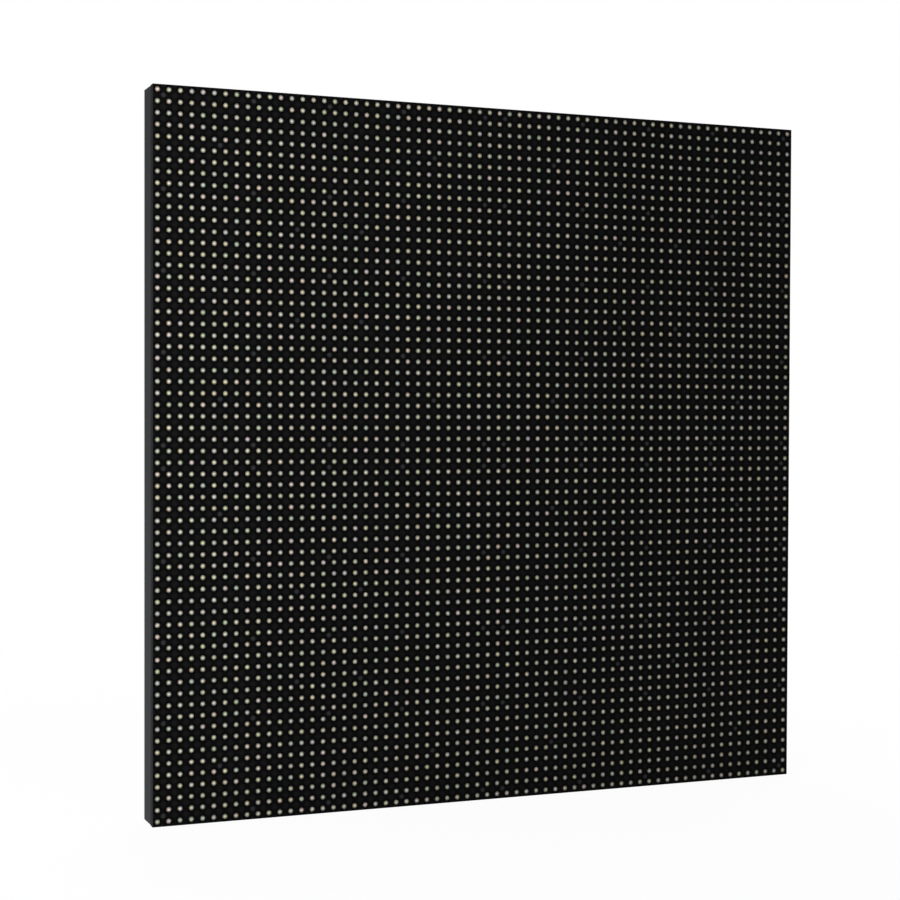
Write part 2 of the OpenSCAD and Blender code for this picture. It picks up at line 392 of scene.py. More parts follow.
# Counts the place on the object in cells of one lamp pitch
def lampCells(add, place):
    return add("ShaderNodeVectorMath", {0: place, "Scale": 1 / (lampGrid["pitch"] * mm)},
               operation="SCALE")


# Front mask: a flat grid with one square window for each lamp, a skirt round the board and its pegs
mask = {
    "window": 2.4, "facePlate": 1.7, "faceSink": 0.02, "merge": 0.005, "skirt": 0.5,
    "pegDiameter": 1.4, "pegShort": 0.1, "pegSides": 12, "postDiameter": 2.5, "postSides": 16,
    "pegLines": [4, 36, 64, 92, 124], "outerPegX": [76, 52], "outerPegZ": [80, 48],
    "postX": [104, 24], "postZ": [108, 20],
}
pegSpots = (mirroredSpots(mask["pegLines"], mask["pegLines"])
            + mirroredSpots(mask["outerPegX"], mask["outerPegZ"]))
postSpots = mirroredSpots(mask["postX"], mask["postZ"])
# Painted shade by the windows: where it begins and is full, in lamp cells, how deep it reaches and its tone
windowShadePaint = {"from": 0.08, "to": 0.42, "deep": 0.1, "bars": "#050506"}


# Painted shade: the face is paler where its strips cross and painted blackest beside the windows
def paintWindowShade(add, place, plain):
    moved = add("ShaderNodeVectorMath", lampCells(add, place), (0.5, 0, 0.5), operation="ADD")
    local = add("ShaderNodeVectorMath", moved, operation="FRACTION")
    centred = add("ShaderNodeVectorMath", local, (0.5, 0, 0.5), operation="SUBTRACT")
    flat = add("ShaderNodeVectorMath", centred, (1, 0, 1), operation="MULTIPLY")
    reach = add("ShaderNodeVectorMath", flat, operation="LENGTH")
    share = add("ShaderNodeMapRange", {
        "Value": reach.outputs["Value"], "From Min": windowShadePaint["from"], "From Max": windowShadePaint["to"]},
        interpolation_type="SMOOTHSTEP")
    spot = add("ShaderNodeSeparateXYZ", place)
    front = add("ShaderNodeMath", spot.outputs["Y"], (faceY + windowShadePaint["deep"]) * mm, operation="LESS_THAN")
    amount = add("ShaderNodeMath", share, front, operation="MULTIPLY")
    return add("ShaderNodeMix", {0: amount, 6: plain.outputs[2], 7: linear(windowShadePaint["bars"])},
               data_type="RGBA")


# Black ABS off a spark-eroded mould: dead matt, so that it hides light, with painted shade by each window
blackMoulding = mouldedPlastic("blackMouldedMask", {
    "colour": "#121213", "pale": "#171718", "roughness": 0.78, "grain": 0.35, "mottle": 30,
    "depth": 0.25, "ior": 1.5, "gloss": 0.04}, paintWindowShade)


# The skirt's four walls meet at mitred corners, so that the ring is one closed shell
def skirtMesh():
    bm = bmesh.new()
    wall = mask["skirt"]
    rings = [squareRing(bm, maskHigh.x - inset, maskHigh.z - inset, y)
             for inset, y in ((0, boardFrontY), (wall, boardFrontY), (wall, boardBackY), (0, boardBackY))]
    bridgeRings(bm, rings + [rings[0]])
    return shapeMesh(bm)


def pegMesh():
    bm = bmesh.new()
    for kind, spots, gap in (("peg", pegSpots, mask["pegShort"]), ("post", postSpots, 0)):
        radius, sides = mask[kind + "Diameter"] / 2, mask[kind + "Sides"]
        for spot in spots:
            addShell(bm, [roundRing(bm, radius, y, sides, spot) for y in (boardFrontY, boardBackY - gap)])
    return shapeMesh(bm)


maskMesh = treeMesh(windows, {
    "Columns": lampGrid["columns"], "Rows": lampGrid["rows"], "Pitch": lampGrid["pitch"] * mm,
    "Window": mask["window"] * mm, "Depth": (mask["facePlate"] - mask["faceSink"]) * mm,
    "Half Width": maskHigh.x * mm, "Half Height": maskHigh.z * mm,
    "Face": (faceY + mask["faceSink"]) * mm, "Merge": mask["merge"] * mm, "Finish": blackMoulding})
joinMeshes(maskMesh, [skirtMesh(), pegMesh()])
addPiece("maskGrid", maskMesh, "mask")
print("mask with", lampGrid["columns"] * lampGrid["rows"], "windows")

# Lamps: a square black body with a round cup of cream resin
lamp = {"side": 2.1, "recess": 0.4, "cup": 1.88, "cupDepth": 0.7, "sides": 16,
        "resinSink": 0.001, "dish": 0.07, "resinDepth": 0.5}
lampY = faceY + lamp["recess"]


def lampBodyMesh():
    bm = bmesh.new()
    half = lamp["side"] / 2
    cup = roundRing(bm, lamp["cup"] / 2, 0, lamp["sides"], turn=0.5)
    rim, foot = [squareRing(bm, half, half, y) for y in (0, boardFrontY - lampY)]
    fillRound(bm, rim, cup)
    bridgeRings(bm, [cup, [bm.verts.new((0, lamp["cupDepth"], 0))]])
    bridgeRings(bm, [rim, foot])
    bm.faces.new(foot)
    return shapeMesh(bm)


# A drop of resin with a shallow dish in front and a point behind, each a fan round its middle
def lampResinMesh():
    bm = bmesh.new()
    edge = roundRing(bm, lamp["cup"] / 2, lamp["resinSink"], lamp["sides"], turn=0.5)
    dish, point = [[bm.verts.new((0, depth, 0))] for depth in (lamp["dish"], lamp["resinDepth"])]
    bridgeRings(bm, [dish, edge, point])
    return shapeMesh(bm)


# Milky silicone over three dies: nearly white, a little warm, and no two lamps quite alike
resinLook = {
    "colour": "#f4f1db", "tint": (0.22, 0.17, 0.28), "spread": 0.09, "core": 0.03, "rim": 0.21, "fade": 2.0,
    "dies": "#b7a67a", "dieSize": 0.26, "dieTall": 0.9, "dieGap": 0.36, "dieStack": 1.4, "dieShow": 0.45,
    "roughness": 0.38, "ior": 1.45, "gloss": 0.35}


def resinMaterial(look):
    material, add, fill, place = startMaterial("milkySiliconeResin")
    pitch = lampGrid["pitch"]
    flat = add("ShaderNodeVectorMath", lampCells(add, place), (1, 0, 1), operation="MULTIPLY")
    # Each lamp has a colour cast and a brightness of its own
    index = add("ShaderNodeVectorMath", flat, operation="FLOOR")
    chance = add("ShaderNodeTexWhiteNoise", {"Vector": index}, noise_dimensions="3D")
    cast = add("ShaderNodeVectorMath", chance.outputs["Color"], look["tint"],
               [1 - share / 2 for share in look["tint"]], operation="MULTIPLY_ADD")
    tinted = add("ShaderNodeVectorMath", cast, linear(look["colour"])[:3], operation="MULTIPLY")
    luck = add("ShaderNodeMapRange", {
        "Value": chance.outputs["Value"], "To Min": 1 - look["spread"], "To Max": 1 + look["spread"]})
    # The three dies show faintly through the resin, one above the other
    local = add("ShaderNodeVectorMath", flat, operation="FRACTION")
    parts = add("ShaderNodeSeparateXYZ", local)
    across, up = [add("ShaderNodeMath", parts.outputs[axis], 0.5, operation="SUBTRACT") for axis in "XZ"]
    stack = add("ShaderNodeMath", up, look["dieGap"] / 2 / pitch, operation="PINGPONG")
    halfDie = look["dieSize"] / 2 / pitch
    inX = add("ShaderNodeMath", across, 0.0, halfDie, operation="COMPARE")
    inZ = add("ShaderNodeMath", stack, halfDie * look["dieTall"], operation="LESS_THAN")
    inStack = add("ShaderNodeMath", up, 0.0, look["dieGap"] * look["dieStack"] / pitch, operation="COMPARE")
    shown = inX
    for factor in (inZ, inStack, look["dieShow"]):
        shown = add("ShaderNodeMath", shown, factor, operation="MULTIPLY")
    tone = add("ShaderNodeMix", {0: shown, 6: tinted, 7: linear(look["dies"])}, data_type="RGBA")
    # Painted shade: the cup's colour is full in the middle and darkened towards its rim
    reach = add("ShaderNodeVectorMath", add("ShaderNodeCombineXYZ", {"X": across, "Z": up}),
                operation="LENGTH")
    depth = add("ShaderNodeMapRange", {
        "Value": reach.outputs["Value"], "From Min": look["core"], "From Max": lamp["cup"] / 2 / pitch,
        "To Min": 1.0, "To Max": look["rim"]})
    glow = add("ShaderNodeMath", depth, look["fade"], operation="POWER")
    level = add("ShaderNodeMath", glow, luck, operation="MULTIPLY")
    shaded = add("ShaderNodeVectorMath", {0: tone.outputs[2], "Scale": level}, operation="SCALE")
    fill({"Base Color": shaded, "Roughness": look["roughness"], "IOR": look["ior"],
          "Specular IOR Level": look["gloss"]})
    return material


# Black ink on the lamp's rim: it hides the body, so that only the cup shows
blackRim = mouldedPlastic("blackLampInk", {
    "colour": "#060607", "pale": "#09090a", "roughness": 0.7, "grain": 0.2, "mottle": 12,
    "depth": 0.12, "ior": 1.5, "gloss": 0.01})
for name, part, finish, replaced in (("lampBodies", lampBodyMesh(), blackRim, "lamp_columns"),
                                     ("lampResin", lampResinMesh(), resinMaterial(resinLook), None)):
    lamps = treeMesh(lampLattice, {
        "Columns": lampGrid["columns"], "Rows": lampGrid["rows"], "Pitch": lampGrid["pitch"] * mm,
        "Level": lampY * mm, "Finish": finish}, part)
    addPiece(name, lamps, replaced)
print("lamps placed")

# Shallow polished marks on the mask's face, one in front of each peg and post
mark = {"diameter": 1.5, "sides": 20, "profile": [(1.0, 0.05), (1.0, 0.0), (0.9, -0.015), (0.55, -0.006)]}


def markMesh():
    bm = bmesh.new()
    addShell(bm, [roundRing(bm, mark["diameter"] / 2 * share, y, mark["sides"])
                  for share, y in mark["profile"]])
    return shapeMesh(bm)


# The same moulding polished by the mould's own pins: smoother, and paler as a painted reflection
paleMarkPaintedReflection = mouldedPlastic("polishedPegMark", {
    "colour": "#262729", "pale": "#2e2f31", "roughness": 0.55, "grain": 0.3, "mottle": 40,
    "depth": 0.1, "ior": 1.5, "gloss": 0.1})
addScatter("pegMarks", markMesh(), pegSpots + postSpots, faceY + mask["faceSink"], paleMarkPaintedReflection)
print("marks over", len(pegSpots) + len(postSpots), "pegs and posts")

# Grained ABS of the rear frame: dark grey and matt
frameBlack = mouldedPlastic("grainedBlackFrame", {
    "colour": "#1b1c1e", "pale": "#242527", "roughness": 0.62, "grain": 0.5, "mottle": 25,
    "depth": 0.35, "ior": 1.5, "gloss": 0.03})
# Glass-filled polyester of the headers: black with a satin shine
headerBlack = mouldedPlastic("glassFilledHeader", {
    "colour": "#17181a", "pale": "#212224", "roughness": 0.42, "grain": 0.3, "mottle": 5,
    "depth": 0.2, "ior": 1.55, "gloss": 0.45})
# Undyed nylon of the power header: warm white and smooth
nylonWhite = mouldedPlastic("naturalNylon", {
    "colour": "#ded8c6", "pale": "#e9e5d8", "roughness": 0.38, "grain": 0.6, "mottle": 6,
    "depth": 0.1, "ior": 1.53, "gloss": 0.5})
# Transfer-moulded epoxy of the chips: black with a fine sandy face
chipBlack = mouldedPlastic("mouldedChipEpoxy", {
    "colour": "#161617", "pale": "#1f1f20", "roughness": 0.5, "grain": 0.16, "mottle": 3,
    "depth": 0.3, "ior": 1.55, "gloss": 0.2})
# Fired ceramic of the small capacitors: an even brown
ceramicBrown = mouldedPlastic("firedCapacitorCeramic", {
    "colour": "#7d6a4c", "pale": "#96805c", "roughness": 0.45, "grain": 0.15, "mottle": 2,
    "depth": 0.1, "ior": 1.6, "gloss": 0.5})
# Screen-printed ink on the board: flat and off-white
whiteInk = mouldedPlastic("screenPrintedInk", {
    "colour": "#c9ccc6", "pale": "#dcdfd9", "roughness": 0.75, "grain": 0.4, "mottle": 4,
    "depth": 0.1, "ior": 1.5, "gloss": 0.3})
# Printed polarity field on the big capacitors: flat black on the bright can
blackInk = mouldedPlastic("canPolarityInk", {
    "colour": "#101012", "pale": "#18181a", "roughness": 0.6, "grain": 0.3, "mottle": 3,
    "depth": 0.1, "ior": 1.5, "gloss": 0.3})
# Copper under solder mask: the board's green, paler and glossy where it is raised
trackGreen = mouldedPlastic("solderMaskOverCopper", {
    "colour": "#2f6b45", "pale": "#3a7a50", "roughness": 0.32, "grain": 0.5, "mottle": 8,
    "depth": 0.08, "ior": 1.55, "gloss": 0.5})
# Thin solder mask drawn over a via's ring: the palest green on the board
tentedVia = mouldedPlastic("viaUnderSolderMask", {
    "colour": "#5c8565", "pale": "#6f9677", "roughness": 0.35, "grain": 0.4, "mottle": 5,
    "depth": 0.1, "ior": 1.55, "gloss": 0.5})
# Tin on legs, pads and power pins: dull silver
tinPlate = platedMetal("mattTinPlate", {
    "colour": "#8f9193", "pale": "#b5b6b6", "roughness": 0.45, "grain": 0.3, "stretch": (1, 1, 1)})
# Thin gold on drawn pins: warm and bright, with marks along the wire
goldFlash = platedMetal("goldFlashedPin", {
    "colour": "#b8923f", "pale": "#dcbb6c", "roughness": 0.28, "grain": 0.4, "stretch": (1, 0.2, 1)})
# Brass from the lathe: dull yellow, with marks round it
turnedBrass = platedMetal("turnedBrass", {
    "colour": "#a37f3c", "pale": "#c9a65c", "roughness": 0.32, "grain": 0.3, "stretch": (1, 6, 1)})
# Zinc on the screws: bluish silver, a little uneven
zincSteel = platedMetal("zincPlatedSteel", {
    "colour": "#8e9194", "pale": "#bcbfc2", "roughness": 0.36, "grain": 0.5, "stretch": (1, 1, 1)})
# Deep-drawn aluminium of the cans: pale silver, with marks along the draw
canAluminium = platedMetal("drawnAluminium", {
    "colour": "#94979a", "pale": "#b6b8bb", "roughness": 0.36, "grain": 0.4, "stretch": (1, 0.1, 1)})

# Small outline chips: a drafted epoxy body with a pin-one dimple and gull-wing legs on both long sides
chipKinds = {
    "column_driver": {"length": 8.65, "width": 3.9, "legs": 12, "legPitch": 0.635, "legWidth": 0.27},
    "row_driver": {"length": 9.9, "width": 3.9, "legs": 8, "legPitch": 1.27, "legWidth": 0.42},
    "buffer_chip": {"length": 6.5, "width": 4.4, "legs": 10, "legPitch": 0.65, "legWidth": 0.25},
}
chip = {
    "standOff": 0.1, "height": 1.6, "parting": (0.8, 0.9), "lowDraft": 0.16, "highDraft": 0.14,
    "topEdge": 0.09, "topRound": 0.07,
    "dimple": 0.9, "dimpleFloor": 0.8, "dimpleInset": 1.05, "dimpleDepth": 0.22, "dimpleSides": 12,
    "legReach": 1.05, "legRoot": 0.25, "legTop": 0.94, "legThick": 0.18, "legFoot": 0.04,
    "legOuterBends": (0.28, 0.5), "legInnerBends": (0.14, 0.36),
    "padLength": 1.5, "padBack": 0.45, "padRise": 0.04, "padMargin": 0.04}


def chipBodyMesh(kind):
    bm = bmesh.new()
    halfX, halfZ = kind["length"] / 2, kind["width"] / 2
    top, inset = chip["height"], chip["dimpleInset"]
    levels = ((chip["lowDraft"], chip["standOff"]), (0, chip["parting"][0]), (0, chip["parting"][1]),
              (chip["highDraft"], top - chip["topRound"]), (chip["highDraft"] + chip["topEdge"], top))
    rings = [squareRing(bm, halfX - draft, halfZ - draft, y) for draft, y in levels]
    bridgeRings(bm, rings)
    bm.faces.new(rings[0])
    hollow = [roundRing(bm, chip["dimple"] / 2 * share, y, chip["dimpleSides"],
                        (inset - halfX, inset - halfZ), turn=0.5)
              for share, y in ((1, top), (chip["dimpleFloor"], top - chip["dimpleDepth"]))]
    bridgeRings(bm, hollow)
    bm.faces.new(hollow[1])
    fillRound(bm, rings[-1], hollow[0])
    return shapeMesh(bm)


# One gull-wing leg pointing along +Z
def legMesh(kind):
    bm = bmesh.new()
    top, thick, foot = chip["legTop"], chip["legThick"], chip["legFoot"]
    root, reach = -chip["legRoot"], chip["legReach"]
    outerTop, outerFoot = chip["legOuterBends"]
    innerTop, innerFoot = chip["legInnerBends"]
    outline = [(root, top), (outerTop, top), (outerFoot, foot + thick), (reach, foot + thick),
               (reach, foot), (innerFoot, foot), (innerTop, top - thick), (root, top - thick)]
    addShell(bm, [[bm.verts.new((x, y, kind["width"] / 2 + out)) for out, y in outline]
                  for x in (-kind["legWidth"] / 2, kind["legWidth"] / 2)])
    return shapeMesh(bm)


# The solder pad under the foot of a leg
def padMesh(kind):
    bm = bmesh.new()
    halfX = kind["legWidth"] / 2 + chip["padMargin"]
    near = kind["width"] / 2 + chip["legReach"] - chip["padBack"] - chip["padLength"] / 2
    addBox(bm, (-halfX, 0, near), (halfX, chip["padRise"], near + chip["padLength"]))
    return shapeMesh(bm)


# Name and middle of each node whose name starts so, in millimetres
def nodeSpots(start):
    boxes = [(name, *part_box(name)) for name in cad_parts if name.startswith(start)]
    return [(name, (low.x + high.x) / 2 / mm, (low.z + high.z) / 2 / mm) for name, low, high in boxes]


solderParts = []
chipSpots = {}
for kindName, kind in chipKinds.items():
    row = {"Count": kind["legs"], "Pitch": kind["legPitch"] * mm, "Turn": 0.0, "Finish": tinPlate}
    legs, padRows = [treeMesh(facingRows, row, part) for part in (legMesh(kind), padMesh(kind))]
    body = chipBodyMesh(kind)
    joinMeshes(body, [legs], slot=1)
    chipSpots[kindName] = nodeSpots(kindName)
    for node, x, z in chipSpots[kindName]:
        addPiece(camelName(node), movedMesh(body, x, z), node, [chipBlack, tinPlate])
        solderParts.append((padRows, x, z, 0))
print("chips with legs placed")

# Rear frame and connector housings keep their CAD form, with every moulded edge a little rounded
softEdge = {"segments": 2, "sharperThan": 50, "weld": 0.001, "flatWithin": 1}
housings = [
    ("rear_frame", 0.25, frameBlack, "frame_plastic"),
    ("data_in_header", 0.15, headerBlack, "header_plastic"),
    ("data_out_header", 0.15, headerBlack, "header_plastic"),
    ("power_header", 0.2, nylonWhite, "power_plastic"),
]


# A welded copy of a CAD node's mesh
def nodeCopy(node):
    bm = bmesh.new()
    bm.from_mesh(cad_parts[node].data)
    bmesh.ops.remove_doubles(bm, verts=bm.verts, dist=softEdge["weld"] * mm)
    return bm


for node, width, finish, slotName in housings:
    bm = nodeCopy(node)
    bmesh.ops.dissolve_limit(bm, angle_limit=math.radians(softEdge["flatWithin"]), verts=bm.verts,
                             edges=bm.edges)
    housing = addPiece(camelName(node), meshFrom(bm), node, [finish])
    bevel = housing.modifiers.new("softEdges", "BEVEL")
    bevel.width = width * mm
    bevel.segments = softEdge["segments"]
    bevel.limit_method = "ANGLE"
    bevel.angle_limit = math.radians(softEdge["sharperThan"])
print("frame and housings softened")

# Pins: square wire with a pointed end, and on the data headers a flat foot soldered outside the housing
headerPin = {"side": 0.64, "height": 7.6, "point": 0.5, "fromMiddle": 1.27, "pitch": 2.54, "count": 8,
             "foot": 0.32, "footEnd": 5.75}
powerPin = {"side": 1.14, "height": 8.8, "point": 0.7, "fromMiddle": 0, "pitch": 3.96, "count": 4}
pinTip = {"share": 0.45, "footOverlap": 0.05}


# Places along a row of pins, from its middle
def pinPlaces(pin):
    return [(i - (pin["count"] - 1) / 2) * pin["pitch"] for i in range(pin["count"])]


def pinMesh(pin):
    bm = bmesh.new()
    half = pin["side"] / 2
    levels = ((half, 0), (half, pin["height"] - pin["point"]), (half * pinTip["share"], pin["height"]))
    addShell(bm, [squareRing(bm, side, side, y) for side, y in levels])
    bmesh.ops.translate(bm, verts=bm.verts, vec=(0, 0, pin["fromMiddle"]))
    if "foot" in pin:
        start = pin["fromMiddle"] + half - pinTip["footOverlap"]
        addBox(bm, (-half, 0, start), (half, pin["foot"], pin["footEnd"]))
    return shapeMesh(bm)


pinRows = treeMesh(facingRows, {
    "Count": headerPin["count"], "Pitch": headerPin["pitch"] * mm, "Turn": math.pi / 2,
    "Finish": goldFlash}, pinMesh(headerPin))
pinSpots = nodeSpots("data_in_pins") + nodeSpots("data_out_pins")
for node, x, z in pinSpots:
    addPiece(camelName(node), movedMesh(pinRows, x, 0), node)
powerSpots = [(x, 0) for x in pinPlaces(powerPin)]
addScatter("powerPins", pinMesh(powerPin), powerSpots, boardBackY, tinPlate, "power_pins")

# Bulk capacitors: an aluminium can crimped on a black base, with its polarity field printed on top.
# Wall and rim are (distance in from the radius, height), with the rim's heights from the top
can = {
    "radius": 4.0, "height": 6.6, "sides": 40, "foot": 0.9, "crown": 0.06, "crownFrom": 0.07,
    "wall": [(0.4, 0.9), (0, 1.15), (0, 1.75), (0.22, 1.95), (0.22, 2.2), (0, 2.4)],
    "rim": [(0, -0.3), (0.12, -0.08), (0.3, 0), (0.5, -0.06)], "fieldFrom": 1.7, "smoothTo": 35,
    "baseHalf": 4.15, "chamfer": 1.3, "baseLevels": ((1, 0), (1, 0.88), (0.975, 1.0))}


def canMesh():
    bm = bmesh.new()
    top = can["height"]
    profile = can["wall"] + [(inset, top + y) for inset, y in can["rim"]]
    foot, crown = [[bm.verts.new((0, y, 0))] for y in (can["foot"], top - can["crown"])]
    wall = [roundRing(bm, can["radius"] - inset, y, can["sides"]) for inset, y in profile]
    bridgeRings(bm, [foot, *wall, crown])

    def isCrown(face):
        return min(v.co.y for v in face.verts) > top - can["crownFrom"]

    # The crown is cut along the edge of the printed field
    parts = {part for face in bm.faces if isCrown(face) for part in (face, *face.verts, *face.edges)}
    bmesh.ops.bisect_plane(bm, geom=list(parts), plane_co=(can["fieldFrom"], 0, 0), plane_no=(1, 0, 0))
    for face in bm.faces:
        face.material_index = int(isCrown(face) and face.calc_center_median().x > can["fieldFrom"])
        face.smooth = True
    mesh = shapeMesh(bm)
    mesh.set_sharp_from_angle(angle=math.radians(can["smoothTo"]))
    return mesh


def canBaseMesh():
    bm = bmesh.new()
    half, cut = can["baseHalf"], can["baseHalf"] - can["chamfer"]
    outline = [(cut, half), (-half, half), (-half, -half), (cut, -half), (half, -cut), (half, cut)]
    addShell(bm, [outlineRing(bm, outline, y, share) for share, y in can["baseLevels"]])
    return shapeMesh(bm)


canTemplate, baseTemplate = canMesh(), canBaseMesh()
canSpots = nodeSpots("capacitor_")
for node, x, z in canSpots:
    number = node.split("_")[1]
    addPiece("capacitorCan" + number, movedMesh(canTemplate, x, z), node,
             [canAluminium, blackInk])
    addPiece("capacitorBase" + number, movedMesh(baseTemplate, x, z),
             finishes=[headerBlack])

# Chip capacitors: a fired ceramic block with a tinned cap on each end, one beside every chip
block = {"length": 1.6, "width": 0.8, "cap": 0.32, "proud": 0.02, "hidden": 0.1, "edge": 0.05}


# Bars of the same section along X, each from one x to another
def blockMesh(spans, thinner):
    bm = bmesh.new()
    half = block["width"] / 2 - thinner
    for fromX, toX in spans:
        addBox(bm, (fromX, 0, -half), (toX, block["width"] - thinner, half))
    bmesh.ops.bevel(bm, geom=bm.edges[:], offset=block["edge"], segments=1, affect="EDGES")
    return shapeMesh(bm)


# Middle of each block in the CAD node, found by walking from corner to corner along its edges
def blockSpots():
    bm = nodeCopy("chip_capacitors")
    spots = []
    left = set(bm.verts)
    while left:
        group, ends = set(), [left.pop()]
        while ends:
            vert = ends.pop()
            group.add(vert)
            ends += [e.other_vert(vert) for e in vert.link_edges if e.other_vert(vert) in left]
            left.difference_update(ends)
        spots.append(tuple(sum(vert.co[axis] for vert in group) / len(group) / mm for axis in (0, 2)))
    bm.free()
    return sorted(spots)


blockPlaces = blockSpots()
end = block["length"] / 2
ceramicMesh = blockMesh([(block["hidden"] - end, end - block["hidden"])], block["proud"])
capMesh = blockMesh([(-end, block["cap"] - end), (end - block["cap"], end)], 0)
addScatter("capacitorBlocks", ceramicMesh, blockPlaces, boardBackY, ceramicBrown,
           "chip_capacitors")
addScatter("capacitorEnds", capMesh, blockPlaces, boardBackY, tinPlate)
print("capacitors placed", len(blockPlaces), "small and", len(canSpots), "large")

# Threaded inserts, flush with the rear face
insert = {"outer": 2.25, "bore": 1.25, "root": 1.48, "mouth": 1.58, "chamfer": 0.12, "threadFrom": 0.3,
          "pitch": 0.5, "depth": 6.0, "sides": 24}
# Pan-head screws with a cross recess; the head's profile is (distance in from its radius, height)
screw = {
    "head": 1.6, "shank": 0.8, "root": 0.62, "reach": 4.5, "pitch": 0.6, "tip": 0.25, "threadTo": 0.4,
    "headProfile": [(0.05, 0), (0, 0.08), (0, 0.5), (0.12, 0.75), (0.35, 0.95), (0.65, 1.1)],
    "armLength": 0.72, "armHalf": 0.17, "recess": 0.55, "recessTaper": 0.72, "sides": 24}
screwTop = screw["headProfile"][-1][1]


# Crests and roots of a thread, in turn, half a pitch apart
def threadPoints(crest, root, start, end, pitch):
    count = math.ceil((end - start) / (pitch / 2))
    return [(root if i % 2 else crest, start + i * pitch / 2) for i in range(count)]


def insertMesh():
    bm = bmesh.new()
    outer, depth = insert["outer"], insert["depth"]
    thread = threadPoints(insert["bore"], insert["root"], insert["threadFrom"], depth - insert["pitch"],
                          insert["pitch"])
    profile = [(outer, depth), (outer, insert["chamfer"]), (outer - insert["chamfer"], 0),
               (insert["mouth"], 0), *thread, (insert["root"], depth)]
    rings = [roundRing(bm, radius, -y, insert["sides"]) for radius, y in profile]
    bridgeRings(bm, rings + [rings[0]])
    return shapeMesh(bm)


def screwMesh():
    bm = bmesh.new()
    thread = threadPoints(screw["shank"], screw["root"], screw["tip"] - screw["reach"], -screw["threadTo"],
                          screw["pitch"])
    profile = [*thread, (screw["root"], 0)]
    profile += [(screw["head"] - inset, y) for inset, y in screw["headProfile"]]
    rings = [roundRing(bm, radius, y, screw["sides"]) for radius, y in profile]
    bridgeRings(bm, [[bm.verts.new((0, -screw["reach"], 0))]] + rings)
    a, w = screw["armLength"], screw["armHalf"]
    plus = [(a, -w), (a, w), (w, w), (w, a), (-w, a), (-w, w),
            (-a, w), (-a, -w), (-w, -w), (-w, -a), (w, -a), (w, -w)]
    mouth = outlineRing(bm, plus, screwTop)
    floor = outlineRing(bm, plus, screwTop - screw["recess"], screw["recessTaper"])
    bridgeRings(bm, [mouth, floor])
    bm.faces.new(floor)
    edges = [bm.edges.get((ring[i], ring[i - 1])) for ring in (rings[-1], mouth) for i in range(len(ring))]
    bmesh.ops.triangle_fill(bm, edges=edges, use_beauty=True)
    return shapeMesh(bm)


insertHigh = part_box("threaded_inserts")[1] / mm
insertX, insertZ = insertHigh.x - insert["outer"], insertHigh.z - insert["outer"]
insertSpots = mirroredSpots([insertX], [insertZ]) + [(-insertX, 0), (insertX, 0)]
addScatter("brassInserts", insertMesh(), insertSpots, insertHigh.y, turnedBrass,
           "threaded_inserts")
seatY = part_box("frame_screws")[1].y / mm - screwTop
addScatter("frameScrews", screwMesh(), postSpots, seatY, zincSteel, "frame_screws")
print("inserts", len(insertSpots), "and screws", len(postSpots))

# Board: tracks under green solder mask, tinned pads and a printed outline round each part.
# Real tracks are 0.15 mm wide, and they are drawn 0.3 mm wide so that they show
board = {"track": 0.3, "trackRise": 0.03, "via": 0.42, "viaHole": 0.18, "viaTaper": 0.9, "viaRise": 0.048,
         "viaSides": 8, "outline": 0.22, "outlineRise": 0.025, "holeMargin": 0.8, "clearSteps": 8}
boardHoles = [(x, z, mask["pegDiameter"] / 2) for x, z in pegSpots]
boardHoles += [(x, z, mask["postDiameter"] / 2) for x, z in postSpots]


# A track along a path of (x, z) points, closed all round
def addTrack(bm, path):
    rings = []
    for i, (x, z) in enumerate(path):
        before, after = path[max(i - 1, 0)], path[min(i + 1, len(path) - 1)]
        run = Vector((after[0] - before[0], after[1] - before[1])).normalized()
        side = Vector((-run.y, run.x)) * board["track"] / 2
        rings.append([bm.verts.new((x + way * side.x, y, z + way * side.y))
                      for way, y in ((1, 0), (-1, 0), (-1, board["trackRise"]), (1, board["trackRise"]))])
    addShell(bm, rings)


def addVia(bm, x, z):
    rim, hole, rise = board["via"], board["viaHole"], board["viaRise"]
    rings = [roundRing(bm, radius, y, board["viaSides"], (x, z))
             for radius, y in ((rim, 0), (rim, rise), (hole, rise), (hole * board["viaTaper"], 0))]
    bridgeRings(bm, rings + [rings[0]])


# Tracks and vias keep their distance from the holes that pegs and posts come through
def isClear(path, middle, side):
    for start, end in zip(path, path[1:]):
        for step in range(board["clearSteps"] + 1):
            share = step / board["clearSteps"]
            x, z = [middle[k] + side * (start[k] + (end[k] - start[k]) * share) for k in (0, 1)]
            if any(math.hypot(x - a, z - b) < radius + board["holeMargin"] for a, b, radius in boardHoles):
                return False
    return True


# Tracks that fan out from one long side of a chip to a row of vias, with room left for its capacitor
fan = {"start": 0.2, "pitch": 1.35, "straight": 0.5, "stagger": 0.28, "end": 1.0, "alternate": 1.1,
       "capacitorGap": 1.9}


def fanMeshes(kind, gap, middle, side):
    tracks, vias = bmesh.new(), bmesh.new()
    count = kind["legs"]
    start = kind["width"] / 2 + chip["legReach"] + fan["start"]
    for i in range(count):
        place = i - (count - 1) / 2
        x0, x1 = place * kind["legPitch"], place * fan["pitch"]
        bend = start + fan["straight"] + (count / 2 - abs(place)) * fan["stagger"]
        level = bend + abs(x1 - x0)
        end = level + fan["end"] + (i % 2) * fan["alternate"]
        path = [(x0, start), (x0, bend), (x1, level), (x1, end)]
        if abs(x1) >= gap and isClear(path, middle, side):
            addTrack(tracks, path)
            addVia(vias, x1, end)
    return shapeMesh(tracks), shapeMesh(vias)


# Bus tracks run side by side along the whole board, past each row of chips, and four more loop round
# from one end of that bus to the other
bus = {"step": 0.9, "end": 118, "level": 54.4, "lines": 5, "below": 1,
       "loopX": 58.4, "loopZ": 26.0, "loopLines": 4, "loopCorner": 8}


